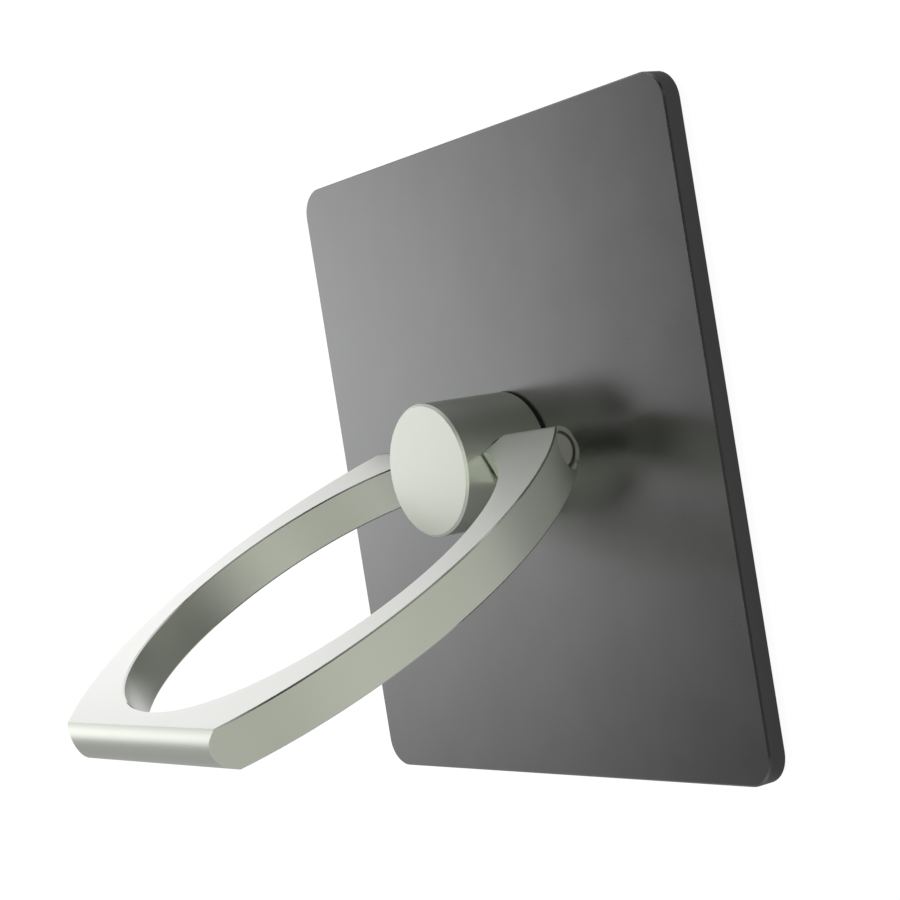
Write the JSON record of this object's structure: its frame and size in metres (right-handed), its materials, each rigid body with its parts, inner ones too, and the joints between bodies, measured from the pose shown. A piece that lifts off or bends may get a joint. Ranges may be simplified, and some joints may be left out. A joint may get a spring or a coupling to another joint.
{
  "type": "phone ring holder",
  "caption": "Stick-on phone ring holder: a thin rounded plate with a swivelling turned post and a flat finger ring hinged through the post, which folds down either way.",
  "frame": {"origin": "centre of the adhesive face", "axes": "+Z out of the plate along the post, +X along the ring's hinge at rest, the ring leans towards -Y"},
  "size_m": [0.036, 0.038, 0.0285],
  "materials": {
    "adhesive": "matt acrylic foam",
    "plate_coat": "satin dark grey",
    "nylon": "black nylon",
    "steel": "plain steel",
    "satin_metal": "bead-blasted pale silver"
  },
  "bodies": {
    "base": {"base_plate": "plate_coat", "adhesive_pad": "adhesive"},
    "swivel": {"swivel_post": "satin_metal", "base_washer": "nylon", "spring_washer": "steel", "pivot_screw": "steel", "hinge_washer_left": "nylon", "hinge_washer_right": "nylon", "hinge_screw_left": "steel", "hinge_screw_right": "steel"},
    "ring": {"finger_ring": "satin_metal"}
  },
  "joints": [
    {"name": "post_swivel", "type": "hinge", "parent": "base", "child": "swivel", "pos_m": [0, 0, 0.0018], "axis": [0, 0, 1], "continuous": true},
    {"name": "ring_flip", "type": "hinge", "parent": "swivel", "child": "ring", "pos_m": [0, 0, 0.00496], "axis": [1, 0, 0], "range_deg": [-116.8, 63.2]}
  ]
}
